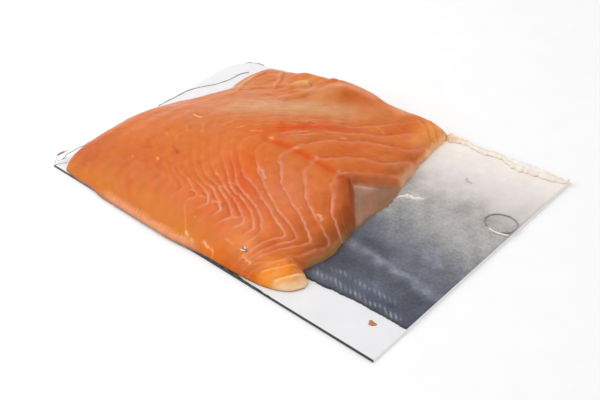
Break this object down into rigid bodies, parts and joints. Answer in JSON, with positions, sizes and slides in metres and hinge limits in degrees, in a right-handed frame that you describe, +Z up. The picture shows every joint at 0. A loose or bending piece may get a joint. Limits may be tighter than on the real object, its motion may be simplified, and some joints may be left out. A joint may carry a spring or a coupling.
{
  "type": "pack of smoked salmon",
  "caption": "Side of smoked salmon with a rounded, seamed cut face, lying on its grey skin on a flat laminated board under a tight clear film.",
  "frame": {"origin": "middle of the board's underside, where the pack rests on a table", "axes": "+X along the board's long edge towards the bare skin end, +Y from the front edge to the back edge with the rounded corner at -X +Y, +Z up through the salmon"},
  "size_m": [0.3, 0.185, 0.0296],
  "materials": {
    "board": "white laminated paperboard with a satin sheen",
    "skin": "moist fish skin, dark blue-grey fading to silver white",
    "belly_lining": "moist pale cream membrane",
    "flesh": "moist orange smoked fish with pale seams",
    "film": "clear glossy plastic film"
  },
  "bodies": {
    "root": {"board": "board", "skin": "skin", "belly_lining": "belly_lining", "flesh": "flesh", "film": "film"}
  },
  "joints": []
}
